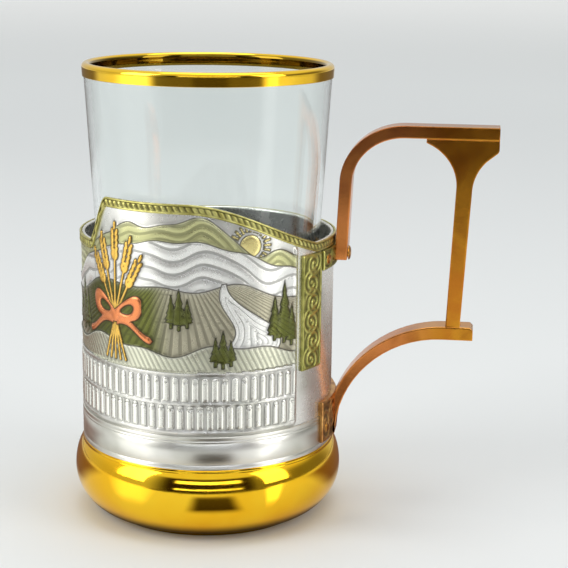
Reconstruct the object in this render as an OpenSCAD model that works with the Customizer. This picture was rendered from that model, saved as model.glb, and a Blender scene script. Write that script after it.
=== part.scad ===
// Tea glass holder: a thin metal sleeve on a bulged foot, with a bent strip handle,
// and the tapered glass that stands in it.
// Origin on the sleeve's axis at table height, +Z up, handle along +X.

/* [Sleeve] */
// Outer radius of the sleeve
sleeve_r = 34.7; // [33:0.1:38]
// Wall thickness of the sleeve
sleeve_t = 1; // [0.6:0.1:1.4]
// Height of the sleeve's plain edge above the table
edge_z = 79; // [74:0.5:88]
// Rise of the front crest above the plain edge
crest_rise = 12.5; // [4:0.5:18]
// Distance from the sleeve's left side to the crest's steep flank
crest_left_inset = 6.7; // [3:0.1:10]
// Width of the crest's steep flank
crest_flank = 6; // [3:0.5:10]
// Distance from the sleeve's right side to the end of the crest's long slope
crest_right_inset = 3.2; // [2:0.1:10]
// Width of the flange turned in at the sleeve's foot
flange_w = 3.2; // [2:0.1:6]
// Height of the border strip along the edge
trim_h = 2.6; // [1.5:0.1:3]
// Thickness of the border strip
trim_t = 0.4; // [0.3:0.05:0.6]
// Height of the plain collar over the joint of sleeve and foot
collar_h = 9.1; // [6:0.1:12]
// Thickness of the collar
collar_t = 0.4; // [0.3:0.05:0.6]

/* [Foot] */
// Height of the foot at its upper lip
foot_h = 20.9; // [19:0.1:26]
// How far the foot's bulge stands out past the sleeve
foot_bulge = 2.7; // [2:0.1:4.5]
// Radius of the rounded shoulder under the lip
shoulder_r = 4.9; // [3:0.1:5.5]
// Radius of the lower half of the bulge
bulge_r = 12; // [9:0.1:13]
// Distance from the bulge in to the rolled bead that stands on the table
bead_inset = 8.2; // [7.5:0.1:10]
// Height of the bead
bead_h = 1.8; // [1.2:0.1:3]
// Width of the bead
bead_w = 2; // [1.6:0.1:3]
// Sheet thickness of the foot
foot_t = 1.2; // [0.8:0.1:1.4]
// Thickness of the floor plate under the glass
floor_t = 1.2; // [0.8:0.1:2]

/* [Centre screw] */
// Shank radius of the centre screw
screw_r = 2; // [1.5:0.1:3]
// Head radius of the centre screw
screw_head_r = 3.8; // [3.2:0.1:5]
// Height of the nut
nut_h = 3.2; // [2:0.1:5]
// Radius of the nut over its corners
nut_r = 4; // [3.6:0.1:6]
// Radius of the washer
washer_r = 5; // [4.2:0.1:8]
// Thickness of the washer
washer_t = 0.8; // [0.5:0.1:1.5]

/* [Glass] */
// Height of the glass
glass_h = 104; // [95:0.5:120]
// How far the glass's lip stands out past the inside of the sleeve
glass_lip_over = 0.3; // [0:0.1:1.5]
// Gap between the glass's base and the inside of the sleeve
glass_base_gap = 6.2; // [4.5:0.1:8]
// Wall thickness of the glass
glass_t = 2; // [1.4:0.1:3]
// Thickness of the glass's base
glass_base_t = 5.5; // [3:0.1:9]
// Height of the metal band round the lip
band_h = 3.3; // [2:0.1:6]
// Thickness of the band
band_t = 0.35; // [0.25:0.05:0.6]

/* [Handle] */
// Width of the handle's strips
handle_w = 7; // [5:0.5:9]
// Thickness of the upper strip
strip_t = 3.3; // [2.4:0.1:4]
// How far the thumb rest stands out past the grip
thumb_over = 6.8; // [5:0.1:10]
// Half width of the arch inside the upper strip
arch_rx = 14; // [12.5:0.1:15]
// Rise of the arch inside the upper strip
arch_rz = 12.7; // [10:0.1:14]
// Gap between the sleeve and the upper strip, level with the foot of the arch
leg_gap = 1.6; // [1.4:0.1:3]
// Lean of the upper strip's leg towards the sleeve
leg_lean = 0.9; // [0:0.1:1.2]
// Length of the leg below the arch
leg_len = 21; // [19:0.1:22]
// Thickness of the grip where it leaves the thumb rest
grip_top_t = 4.2; // [3.4:0.1:5]
// Thickness of the grip at the lower strip
grip_foot_t = 3.9; // [3.2:0.1:5]
// Lean of the grip towards the sleeve
grip_lean = 1.6; // [0:0.1:3]
// Radius of the hollow under the thumb rest
thumb_hollow_r = 12; // [9:0.1:14]
// Radius of the nose under the thumb rest
thumb_nose_r = 1.6; // [1:0.1:2]
// Radius of the lower strip's bend, along its underside
arm_bend_r = 28.8; // [26:0.1:31]
// Thickness of the lower strip
arm_t = 3.6; // [2.8:0.1:4.4]
// Length of the lower strip's end past the grip
stub_len = 3.6; // [2:0.1:6]
// Radius of the grip's tenon
tenon_r = 1.3; // [0.9:0.1:1.6]

/* [Pads and rivets] */
// Half angle of the pads in degrees
pad_half_angle = 20.5; // [16:0.5:21]
// Thickness of the upper pad
upper_pad_t = 0.8; // [0.5:0.1:1]
// Height of the upper pad
upper_pad_h = 5.4; // [5:0.1:7]
// Thickness of the lower pad over the collar
lower_pad_t = 0.7; // [0.5:0.1:1]
// Height of the lower pad
lower_pad_h = 11.5; // [10:0.1:12]
// Half angle from the handle to the rivets in degrees
rivet_angle = 15.5; // [12:0.5:17]
// Shank radius of the pad rivets
rivet_r = 0.8; // [0.5:0.1:1.1]
// Head radius of the pad rivets
rivet_head_r = 1.4; // [1.2:0.1:1.8]
// Shank radius of the rivet through the leg
hoop_rivet_r = 1.2; // [0.8:0.1:1.5]
// Head radius of the rivet through the leg
hoop_rivet_head_r = 2; // [1.7:0.1:2.4]

/* [Pilasters] */
// Angle from the handle to a pilaster's near edge in degrees
pilaster_angle = 22; // [21.5:0.5:26]
// Angle that a pilaster spans in degrees
pilaster_span_angle = 13.5; // [8:0.5:16]
// Thickness of a pilaster
pilaster_t = 0.6; // [0.4:0.1:0.8]
// Height of a pilaster's lower end above the table
pilaster_z = 45; // [42:0.5:55]

/* [Hidden] */

// Facets of large turned pieces, small turned pieces and one curve of an outline
fn_large = 180;
fn_small = 48;
curve_steps = 16;

// Overrun of a cut past the solid that it cuts
overrun = 1;
// Gap left for solder between curved faces
solder_gap = 0.05;
// Gap between the floor plate and the glass that stands on it
seat_gap = 0.1;
// Radial clearance of a shank in its hole
shank_gap = 0.05;

// Play of a rivet's heads off what they hold
head_gap = 0.1;

// Heights of the stack inside the foot
floor_recess = 0.5;
floor_top_z = foot_h - floor_recess;
floor_under_z = floor_top_z - floor_t;
seat_z = floor_under_z - sleeve_t;
web_under_z = floor_under_z - foot_t;
glass_z = floor_top_z + seat_gap;
// The floor plate's edge clearance in the sleeve
floor_edge_gap = 0.2;

// The sleeve's inner radius, the spigot inside its flange and the ends of its crest
sleeve_in_r = sleeve_r - sleeve_t;
crest_left = sleeve_r - crest_left_inset;
crest_run = sleeve_r - crest_right_inset;
flange_r = sleeve_in_r - flange_w;
spigot_r = flange_r - solder_gap;

// The foot's lip, the centres of its arcs and its bead
foot_r = sleeve_r + foot_bulge;
bead_r = foot_r - bead_inset;
lip_in_r = sleeve_r + solder_gap;
lip_out_r = lip_in_r + collar_t + solder_gap;
lip_t = 0.9;
shoulder_x = foot_r - shoulder_r;
shoulder_z = foot_h - lip_t - sqrt(pow(shoulder_r, 2) - pow(lip_out_r - shoulder_x, 2));
shoulder_from = acos((lip_out_r - shoulder_x) / shoulder_r);
bulge_x = foot_r - bulge_r;
bulge_to = asin((bulge_r - bead_h) / bulge_r);
bead_in_r = bead_r - bead_w;
bead_top_z = bead_h + foot_t;
bead_round = 0.5;

// The collar stands on the foot's lip
collar_top_z = foot_h + collar_h;
collar_out_r = sleeve_r + solder_gap + collar_t;
collar_round = collar_t / 2;

// The centre screw's countersunk head and its end
screw_top_z = floor_top_z - seat_gap;
screw_cone_h = screw_head_r - screw_r;
screw_tip = 1;
nut_z = web_under_z - washer_t - nut_h;

// The glass: slope of its wall, rounded corners and the recess of the band
glass_top_r = sleeve_in_r + glass_lip_over;
glass_base_r = sleeve_in_r - glass_base_gap;
glass_top_z = glass_z + glass_h - band_t;
glass_slope = (glass_top_r - glass_base_r) / glass_h;
glass_corner_r = 2.5;
glass_bowl_r = 5;
glass_lip_r = 0.8;

// The upper pad hangs just below the border strip
pad_edge_gap = 0.2;
upper_pad_top_z = edge_z - trim_h - pad_edge_gap;
upper_pad_z = upper_pad_top_z - upper_pad_h;
upper_pad_out_r = sleeve_r + solder_gap + upper_pad_t;

// The upper strip: its leg stands on the upper pad and carries the arch
leg_inset_z = 1.2;
leg_z = upper_pad_z + leg_inset_z;
arch_x = sleeve_r + leg_gap + strip_t + arch_rx;
arch_z = leg_z + leg_len;
strip_under_z = arch_z + arch_rz;
hoop_top_z = strip_under_z + strip_t;

// The grip under the thumb rest
grip_x = arch_x + arch_rx;
hoop_reach = grip_x + grip_top_t + thumb_over;
gusset_angle = 66;
hollow_angle = 135;
nose_angle = -60;
nose_drop_share = 1.5;

// The lower strip: its foot on the lower pad and its bend
lower_pad_rise = 1.6;
lower_pad_z = foot_h + lower_pad_rise;
lower_pad_out_r = collar_out_r + solder_gap + lower_pad_t;
arm_foot_t = 0.4;
arm_taper = 1;
arm_bend_x = lower_pad_out_r + arm_foot_t + arm_bend_r;
arm_drop = 0.5;
arm_bend_z = lower_pad_z - arm_drop;
arm_top_z = arm_bend_z + arm_bend_r + arm_t;
arm_under_z = arm_bend_z + arm_bend_r;
arm_top_angle = 168;
arm_under_angle = 179;
arm_corner = 0.8;
tenon_x = grip_x - grip_lean + grip_foot_t / 2;

// Rivets: heights of their axes and thickness of their heads
head_share = 0.36;
upper_rivet_z = upper_pad_z + upper_pad_h / 2;
lower_rivet_share = 0.32;
lower_rivet_z = lower_pad_z + lower_pad_h * lower_rivet_share;
leg_out_r = sleeve_r + leg_gap - leg_lean + strip_t;
// The leg leans, so its rivet's head stands off by the lean over the head's upper half
head_rise_z = upper_rivet_z + hoop_rivet_head_r - leg_z;
hoop_head_x = leg_out_r + head_gap + leg_lean * head_rise_z / leg_len;

// Points of an arc, and of a quarter-round ellipse arc, from angle a to angle b
function arc(x, y, r, a, b) = ellipse_arc(x, y, r, r, a, b);
function ellipse_arc(x, y, rx, ry, a, b) = [
    for (i = [0:curve_steps])
    let (t = a + (b - a) * i / curve_steps)
    [x + rx * cos(t), y + ry * sin(t)]
];
function ease(t) = t * t * (3 - 2 * t);

// Upper edge of the sleeve seen from the front, lowered by drop
function edge_line(drop) = concat(
    [[-sleeve_r - overrun, edge_z - drop]],
    [for (i = [0:curve_steps])
        let (t = i / curve_steps)
        [crest_flank * t - crest_left, edge_z + crest_rise * ease(t) - drop]],
    [for (i = [0:curve_steps])
        let (t = i / curve_steps)
        [crest_run * t, edge_z + crest_rise * cos(90 * t) - drop]],
    [[sleeve_r + overrun, edge_z - drop]]
);

// All space round the axis that lies below the sleeve's edge, lowered by drop
module below_edge(drop) {
    reach = sleeve_r + overrun;
    rotate([90, 0, 0])
        linear_extrude(height = reach)
            polygon(concat(edge_line(drop), [[reach, 0], [-reach, 0]]));
    translate([-reach, 0, 0])
        cube([reach * 2, reach, edge_z - drop]);
}

// A tube from radius r_in to r_out between two heights
module tube(r_in, r_out, low, high) {
    rotate_extrude($fn = fn_large)
        polygon([[r_in, low], [r_out, low], [r_out, high], [r_in, high]]);
}

// A sector of a turned profile, centred on the angle middle
module sector(middle, half) {
    rotate([0, 0, middle - half])
        rotate_extrude(angle = half * 2, $fn = fn_large)
            children();
}

// A hole or shank along a radius of the sleeve
module radial_shank(angle, z, r, from, to) {
    rotate([0, 0, angle])
        translate([from, 0, z])
            rotate([0, 90, 0])
                cylinder(r = r, h = to - from, $fn = fn_small);
}

// A rivet along +Z from low to high, with a flat head below and a domed head above
module rivet(r, head_r, low, high) {
    head_h = head_r * head_share;
    rotate_extrude($fn = fn_small)
        polygon(concat(
            [[0, low - head_h], [head_r, low - head_h], [head_r, low], [r, low], [r, high]],
            ellipse_arc(0, high, head_r, head_h, 0, 90)
        ));
}

// The same rivet laid along a radius of the sleeve
module radial_rivet(angle, z, r, head_r, from, to) {
    rotate([0, 0, angle])
        translate([0, 0, z])
            rotate([0, 90, 0])
                rivet(r, head_r, from, to);
}

// Holes for every rivet, from inside the sleeve to past the pads
module rivet_holes() {
    from = sleeve_in_r - overrun;
    to = leg_out_r + overrun;
    radial_shank(0, upper_rivet_z, hoop_rivet_r + shank_gap, from, to);
    for (side = [-1, 1]) {
        radial_shank(side * rivet_angle, upper_rivet_z, rivet_r + shank_gap, from, to);
        radial_shank(side * rivet_angle, lower_rivet_z, rivet_r + shank_gap, from, to);
    }
}

// A strip of the handle: an outline in the XZ plane, as wide as the handle
module handle_strip(points) {
    rotate([90, 0, 0])
        linear_extrude(height = handle_w, center = true)
            polygon(points);
}

// Rolled sleeve with its cut edge and the flange turned in at its foot
module sleeve() {
    color("gainsboro")
        difference() {
            intersection() {
                rotate_extrude($fn = fn_large)
                    polygon([
                        [flange_r, seat_z],
                        [sleeve_r, seat_z],
                        [sleeve_r, edge_z + crest_rise],
                        [sleeve_in_r, edge_z + crest_rise],
                        [sleeve_in_r, floor_under_z],
                        [flange_r, floor_under_z]
                    ]);
                below_edge(0);
            }
            rivet_holes();
        }
}

// Thin strip soldered round the outside of the sleeve's edge
module border_strip() {
    color("darkkhaki")
        intersection() {
            tube(sleeve_r + solder_gap, sleeve_r + solder_gap + trim_t,
                edge_z - trim_h, edge_z + crest_rise);
            difference() {
                below_edge(0);
                below_edge(trim_h);
            }
        }
}

// Plain collar over the joint of sleeve and foot
module joint_collar() {
    color("silver")
        difference() {
            rotate_extrude($fn = fn_large)
                polygon([
                    [sleeve_r + solder_gap, foot_h],
                    [collar_out_r, foot_h],
                    [collar_out_r, collar_top_z - collar_round],
                    [collar_out_r - collar_round, collar_top_z],
                    [sleeve_r + solder_gap, collar_top_z]
                ]);
            rivet_holes();
        }
}

// Disc on which the glass stands, with a countersunk hole
module floor_plate() {
    color("lightgray")
        difference() {
            translate([0, 0, floor_under_z])
                cylinder(r = sleeve_in_r - floor_edge_gap, h = floor_t, $fn = fn_large);
            screw_hole();
        }
}

// Spun foot: web, lip, bulge and rolled bead in one sheet
module foot_shell() {
    inner_bulge_r = bulge_r - foot_t;
    inner_shoulder_r = shoulder_r - foot_t;
    inner_to = asin((bulge_r - bead_top_z) / inner_bulge_r);
    color("goldenrod")
        difference() {
            rotate_extrude($fn = fn_large)
                polygon(concat(
                    [[0, floor_under_z], [spigot_r, floor_under_z], [spigot_r, seat_z]],
                    [[lip_in_r, seat_z], [lip_in_r, foot_h], [lip_out_r, foot_h]],
                    arc(shoulder_x, shoulder_z, shoulder_r, shoulder_from, 0),
                    arc(bulge_x, bulge_r, bulge_r, 0, -bulge_to),
                    [[bead_r, bead_h], [bead_r, bead_round], [bead_r - bead_round, 0]],
                    [[bead_in_r + bead_round, 0], [bead_in_r, bead_round]],
                    [[bead_in_r, bead_top_z]],
                    arc(bulge_x, bulge_r, inner_bulge_r, -inner_to, 0),
                    arc(shoulder_x, shoulder_z, inner_shoulder_r, 0,
                        asin(min(1, (seat_z - foot_t - shoulder_z) / inner_shoulder_r))),
                    [[spigot_r - foot_t, seat_z - foot_t], [spigot_r - foot_t, web_under_z]],
                    [[0, web_under_z]]
                ));
            screw_hole();
        }
}

// Countersunk screw hole through the floor plate and the foot's web
module screw_hole() {
    hole_r = screw_r + shank_gap;
    rotate_extrude($fn = fn_small)
        polygon([
            [0, seat_z - foot_t - overrun],
            [hole_r, seat_z - foot_t - overrun],
            [hole_r, screw_top_z - screw_cone_h],
            [screw_head_r + shank_gap, screw_top_z],
            [screw_head_r + shank_gap, floor_top_z + overrun],
            [0, floor_top_z + overrun]
        ]);
}

// Countersunk screw that clamps floor plate, sleeve and foot
module centre_screw() {
    color("silver")
        rotate_extrude($fn = fn_small)
            polygon([
                [0, nut_z - screw_tip],
                [screw_r, nut_z - screw_tip],
                [screw_r, screw_top_z - screw_cone_h],
                [screw_head_r, screw_top_z],
                [0, screw_top_z]
            ]);
}

// Washer between the foot's web and the nut
module centre_washer() {
    color("silver")
        translate([0, 0, nut_z + nut_h])
            difference() {
                cylinder(r = washer_r, h = washer_t, $fn = fn_small);
                translate([0, 0, -overrun])
                    cylinder(r = screw_r + shank_gap, h = washer_t + overrun * 2, $fn = fn_small);
            }
}

// Hexagonal nut under the washer
module centre_nut() {
    color("silver")
        translate([0, 0, nut_z])
            difference() {
                cylinder(r = nut_r, h = nut_h, $fn = 6);
                translate([0, 0, -overrun])
                    cylinder(r = screw_r + shank_gap, h = nut_h + overrun * 2, $fn = fn_small);
            }
}

// Tapered glass with a thick base and a rounded lip
module glass_tumbler() {
    lip_x = glass_top_r - glass_slope * band_t;
    base_in_r = glass_base_r + glass_slope * glass_base_t - glass_t;
    color("lightcyan", 0.4)
        rotate_extrude($fn = fn_large)
            polygon(concat(
                [[0, glass_z]],
                arc(glass_base_r - glass_corner_r, glass_z + glass_corner_r, glass_corner_r, -90, 0),
                [[lip_x - band_t, glass_top_z - glass_lip_r]],
                [[lip_x - glass_lip_r, glass_top_z], [lip_x - glass_t + glass_lip_r, glass_top_z]],
                [[lip_x - glass_t, glass_top_z - glass_lip_r]],
                arc(base_in_r - glass_bowl_r, glass_z + glass_base_t + glass_bowl_r, glass_bowl_r, 0, -90),
                [[0, glass_z + glass_base_t]]
            ));
}

// Metal band folded over the glass's lip
module lip_band() {
    lip_x = glass_top_r - glass_slope * band_t;
    out_r = lip_x - band_t + solder_gap;
    in_r = lip_x - glass_t - solder_gap;
    low_z = glass_top_z - band_h;
    band_lip = glass_lip_r + band_t;
    color("gold")
        rotate_extrude($fn = fn_large)
            polygon([
                [out_r - glass_slope * (band_h - glass_lip_r), low_z],
                [out_r - glass_slope * (band_h - glass_lip_r) + band_t, low_z],
                [out_r + band_t, glass_top_z - glass_lip_r],
                [lip_x - band_lip + band_t, glass_top_z + band_t],
                [lip_x - glass_t + band_lip - band_t, glass_top_z + band_t],
                [in_r - band_t, glass_top_z - glass_lip_r],
                [in_r - band_t - glass_slope * (band_h - glass_lip_r), low_z],
                [in_r - glass_slope * (band_h - glass_lip_r), low_z],
                [in_r, glass_top_z - glass_lip_r],
                [lip_x - glass_t + glass_lip_r - solder_gap, glass_top_z + solder_gap],
                [lip_x - glass_lip_r + solder_gap, glass_top_z + solder_gap],
                [out_r, glass_top_z - glass_lip_r]
            ]);
}

// Upper strip of the handle: leg, arch and flat thumb rest
module handle_hoop() {
    leg_x = arch_x - arch_rx - strip_t;
    color("peru")
        difference() {
            handle_strip(concat(
                [[leg_x - leg_lean, leg_z]],
                ellipse_arc(arch_x, arch_z, arch_rx + strip_t, arch_rz + strip_t, 180, 90),
                [[hoop_reach, hoop_top_z], [hoop_reach, strip_under_z]],
                ellipse_arc(arch_x, arch_z, arch_rx, arch_rz, 90, 180),
                [[leg_x - leg_lean + strip_t, leg_z]]
            ));
            cylinder(r = upper_pad_out_r + solder_gap, h = arch_z, $fn = fn_large);
            rivet_holes();
        }
}

// Upright grip that flares into the thumb rest, with a tenon below
module handle_grip() {
    foot_x = grip_x - grip_lean;
    hollow_x = grip_x + grip_top_t + thumb_hollow_r;
    nose_x = hoop_reach - thumb_nose_r;
    nose_z = strip_under_z - thumb_nose_r * nose_drop_share;
    color("peru") {
        handle_strip(concat(
            [[foot_x, arm_top_z]],
            ellipse_arc(arch_x, arch_z, arch_rx, arch_rz, 0, gusset_angle),
            [[arch_x + arch_rx * cos(gusset_angle), strip_under_z], [hoop_reach, strip_under_z]],
            arc(nose_x, nose_z, thumb_nose_r, 0, nose_angle),
            arc(hollow_x, arch_z - thumb_nose_r, thumb_hollow_r, hollow_angle, 180),
            [[foot_x + grip_foot_t, arm_top_z]]
        ));
        translate([tenon_x, 0, arm_under_z])
            cylinder(r = tenon_r, h = arm_t + overrun, $fn = fn_small);
    }
}

// Lower strip of the handle, from its stub past the grip down to the lower pad
module handle_arm() {
    stub_x = grip_x - grip_lean + grip_foot_t + stub_len;
    color("darkgoldenrod")
        difference() {
            handle_strip(concat(
                [[stub_x, arm_under_z], [stub_x, arm_top_z - arm_corner]],
                [[stub_x - arm_corner, arm_top_z]],
                arc(arm_bend_x + arm_taper, arm_bend_z, arm_bend_r + arm_t, 90, arm_top_angle),
                [[sleeve_r, lower_pad_z]],
                arc(arm_bend_x, arm_bend_z, arm_bend_r, arm_under_angle, 90)
            ));
            cylinder(r = lower_pad_out_r + solder_gap, h = arm_under_z, $fn = fn_large);
            translate([tenon_x, 0, arm_under_z - overrun])
                cylinder(r = tenon_r + shank_gap, h = arm_t + overrun * 2, $fn = fn_small);
        }
}

// Curved pad between the sleeve and the upper strip
module upper_pad() {
    color("darkkhaki")
        difference() {
            sector(0, pad_half_angle)
                polygon([
                    [sleeve_r + solder_gap, upper_pad_z],
                    [upper_pad_out_r, upper_pad_z],
                    [upper_pad_out_r, upper_pad_top_z],
                    [sleeve_r + solder_gap, upper_pad_top_z]
                ]);
            rivet_holes();
        }
}

// Curved pad between the collar and the lower strip, stepped over the collar's edge
module lower_pad() {
    step_r = collar_out_r + solder_gap;
    step_z = collar_top_z + solder_gap;
    top_z = lower_pad_z + lower_pad_h;
    color("darkkhaki")
        difference() {
            sector(0, pad_half_angle)
                polygon([
                    [step_r, lower_pad_z],
                    [lower_pad_out_r, lower_pad_z],
                    [lower_pad_out_r, top_z],
                    [sleeve_r + solder_gap, top_z],
                    [sleeve_r + solder_gap, step_z],
                    [step_r, step_z]
                ]);
            rivet_holes();
        }
}

// Rivet through leg, upper pad and sleeve
module hoop_rivet() {
    color("peru")
        radial_rivet(0, upper_rivet_z, hoop_rivet_r, hoop_rivet_head_r,
            sleeve_in_r - head_gap, hoop_head_x);
}

// Two rivets through a pad and the sleeve behind it
module pad_rivets(z, out_r) {
    color("darkkhaki")
        for (side = [-1, 1])
            radial_rivet(side * rivet_angle, z, rivet_r, rivet_head_r,
                sleeve_in_r - head_gap, out_r + head_gap);
}

module upper_pad_rivets() {
    pad_rivets(upper_rivet_z, upper_pad_out_r);
}

module lower_pad_rivets() {
    pad_rivets(lower_rivet_z, lower_pad_out_r);
}

// Upright ornamental strip beside the handle's pads
module pilaster(side) {
    color("darkkhaki")
        sector(side * (pilaster_angle + pilaster_span_angle / 2), pilaster_span_angle / 2)
            polygon([
                [sleeve_r + solder_gap, pilaster_z],
                [sleeve_r + solder_gap + pilaster_t, pilaster_z],
                [sleeve_r + solder_gap + pilaster_t, upper_pad_top_z],
                [sleeve_r + solder_gap, upper_pad_top_z]
            ]);
}

module pilaster_near() {
    pilaster(-1);
}

module pilaster_far() {
    pilaster(1);
}

sleeve();
border_strip();
joint_collar();
floor_plate();
foot_shell();
centre_screw();
centre_washer();
centre_nut();
glass_tumbler();
lip_band();
handle_hoop();
handle_grip();
handle_arm();
upper_pad();
lower_pad();
hoop_rivet();
upper_pad_rivets();
lower_pad_rivets();
pilaster_near();
pilaster_far();
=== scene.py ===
"""Looks of the tea glass holder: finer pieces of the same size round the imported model.

Azimuths are in degrees from the handle, and the photographed side faces -80. The holder's own sizes
are in millimetres and become metres where a mesh is made. Places in materials are in metres.
"""

import math

import bmesh
import bpy
import numpy as np
from mathutils import Matrix, Vector


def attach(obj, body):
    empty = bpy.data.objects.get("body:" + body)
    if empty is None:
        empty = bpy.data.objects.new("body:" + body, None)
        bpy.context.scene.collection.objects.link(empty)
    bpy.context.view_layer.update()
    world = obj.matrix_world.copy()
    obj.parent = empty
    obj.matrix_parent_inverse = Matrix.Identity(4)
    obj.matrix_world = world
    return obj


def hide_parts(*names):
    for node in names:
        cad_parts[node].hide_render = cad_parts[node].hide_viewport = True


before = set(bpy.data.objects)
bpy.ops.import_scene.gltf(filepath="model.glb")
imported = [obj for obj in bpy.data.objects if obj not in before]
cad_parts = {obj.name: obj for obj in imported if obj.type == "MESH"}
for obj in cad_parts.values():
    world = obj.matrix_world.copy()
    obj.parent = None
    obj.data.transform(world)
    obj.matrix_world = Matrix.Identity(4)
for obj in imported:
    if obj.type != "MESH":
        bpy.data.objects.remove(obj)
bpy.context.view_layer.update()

MM = 0.001

# Sleeve, with the contour of its upper edge
SLEEVE_R = 34.7
SLEEVE_IN_R = 33.7
RIM_ROUND = (SLEEVE_R - SLEEVE_IN_R) / 2
EDGE_Z = 79.0
CREST_RISE = 12.5
CREST_LEFT = 28.0
CREST_FLANK = 6.0
CREST_RUN = 31.5
SEAT_Z = 18.2
FLANGE_TOP = 19.2
FLANGE_IN_R = 30.5

# Strip and collar, soldered round the sleeve
SOLDER = 0.05
TRIM_SHEET = 0.4
TRIM_IN_R = SLEEVE_R + SOLDER
TRIM_OUT_R = TRIM_IN_R + TRIM_SHEET
TRIM_H = 2.6
COLLAR_TOP = 30.0

# Foot and floor
FOOT_TOP = 20.9
BORE_R = 2.05
FLOOR_TOP = 20.4

# The picture band, the tongue band under it and the plain field behind the handle
PICTURE_LOW = 47.6
TONGUES_LOW = 31.4
TONGUE_ROW = 7.6
TONGUE_COUNT = 84
FRONT = -80.0
HANDLE_FIELD = 38.0
DEGREE = math.radians(1) * SLEEVE_R


def ease(t):
    t = np.clip(t, 0, 1)
    return t * t * (3 - 2 * t)


def soft(value, low, high):
    """0 below low, 1 above high."""
    return ease((value - low) / (high - low))


def edge_height(az):
    """Height of the sleeve's cut edge, in mm."""
    x = SLEEVE_R * np.cos(np.radians(az))
    flank = ease((x + CREST_LEFT) / CREST_FLANK)
    slope = np.cos(np.radians(90 * np.clip(x / CREST_RUN, 0, 1)))
    front = np.sin(np.radians(az)) < 0
    return EDGE_Z + CREST_RISE * np.where(front, np.where(x < 0, flank, slope), 0.0)


def arc(x, z, r, start, end, steps=12):
    turns = np.radians(np.linspace(start, end, steps + 1))
    return [(x + r * math.cos(t), z + r * math.sin(t)) for t in turns]


def line(start, end, steps):
    """Points from start up to end, without end."""
    return [(start[0] + (end[0] - start[0]) * i / steps, start[1] + (end[1] - start[1]) * i / steps)
            for i in range(steps)]


def turned(profile, columns, start=0.0, sweep=360.0, closed=True):
    """An outline of (radius, height) points turned about the holder's axis.

    A whole turn is a wedge spun once and then repeated, which is far quicker than one long spin.
    """
    bm = bmesh.new()
    wedges = 12 if sweep == 360 else 1
    turn = Matrix.Rotation(math.radians(start), 3, "Z")
    verts = [bm.verts.new(turn @ Vector((r * MM, 0, z * MM))) for r, z in profile]
    last = verts[1:] + verts[:1] if closed else verts[1:]
    edges = [bm.edges.new(pair) for pair in zip(verts, last)]
    made = bmesh.ops.spin(bm, geom=verts + edges, cent=(0, 0, 0), axis=(0, 0, 1), dvec=(0, 0, 0),
                          angle=math.radians(sweep / wedges), steps=columns // wedges,
                          use_merge=False, use_normal_flip=False, use_duplicate=False)
    if wedges == 1:
        far_edges = [e for e in made["geom_last"] if isinstance(e, bmesh.types.BMEdge)]
        for ring in (edges, far_edges):
            bmesh.ops.contextual_create(bm, geom=ring, mat_nr=0, use_smooth=False)
    wedge = bm.verts[:] + bm.edges[:] + bm.faces[:]
    for i in range(1, wedges):
        extra = bmesh.ops.duplicate(bm, geom=wedge)["geom"]
        bmesh.ops.rotate(bm, verts=[g for g in extra if isinstance(g, bmesh.types.BMVert)],
                         cent=(0, 0, 0), matrix=Matrix.Rotation(math.radians(360 * i / wedges), 3, "Z"))
    bmesh.ops.remove_doubles(bm, verts=bm.verts, dist=1e-6)
    bmesh.ops.recalc_face_normals(bm, faces=bm.faces)
    return bm


def piece(name, bm, body, node, finish, sharp=40):
    """Makes the object of a finished mesh, which stands for a CAD node."""
    mesh = bpy.data.meshes.new(name)
    bm.to_mesh(mesh)
    bm.free()
    mesh.shade_smooth()
    mesh.set_sharp_from_angle(angle=math.radians(sharp))
    made = bpy.data.objects.new(name, mesh)
    bpy.context.scene.collection.objects.link(made)
    mesh.materials.append(finish.material)
    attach(made, body)
    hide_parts(node)
    return made


def points(obj):
    """The vertices' places in metres, one row each."""
    co = np.empty(len(obj.data.vertices) * 3)
    obj.data.vertices.foreach_get("co", co)
    return co.reshape(-1, 3)


def polar(co):
    """Radius in mm, azimuth in degrees and height in mm."""
    x, y, z = co[:, 0], co[:, 1], co[:, 2]
    return np.hypot(x, y) / MM, np.degrees(np.arctan2(y, x)), z / MM


def place(obj, r, az, z):
    """Moves the vertices to new radii, azimuths and heights."""
    turns = np.radians(az)
    co = np.stack([r * np.cos(turns), r * np.sin(turns), z], axis=1) * MM
    obj.data.vertices.foreach_set("co", co.ravel())
    obj.data.update()


def store(obj, name, values):
    """Gives each vertex a number, which materials read by its name."""
    field = obj.data.attributes.new(name, "FLOAT", "POINT")
    field.data.foreach_set("value", np.asarray(values, np.float32))


def copied(node):
    """A merged copy of a CAD node's mesh, with its flat faces whole."""
    bm = bmesh.new()
    bm.from_mesh(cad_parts[node].data)
    bmesh.ops.remove_doubles(bm, verts=bm.verts, dist=2e-6)
    bmesh.ops.dissolve_limit(bm, angle_limit=math.radians(1), verts=bm.verts, edges=bm.edges,
                             use_dissolve_boundaries=False, delimit=set())
    return bm


# Materials

class Number:
    """A number or colour in a material, which plain sums can use."""

    def __init__(self, sheet, socket):
        self.sheet, self.socket = sheet, socket

    def __add__(self, other):
        return self.sheet.math("ADD", self, other)

    def __sub__(self, other):
        return self.sheet.math("SUBTRACT", self, other)

    def __rsub__(self, other):
        return self.sheet.math("SUBTRACT", other, self)

    def __mul__(self, other):
        return self.sheet.math("MULTIPLY", self, other)

    def __truediv__(self, other):
        return self.sheet.math("DIVIDE", self, other)

    __radd__, __rmul__ = __add__, __mul__


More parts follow.
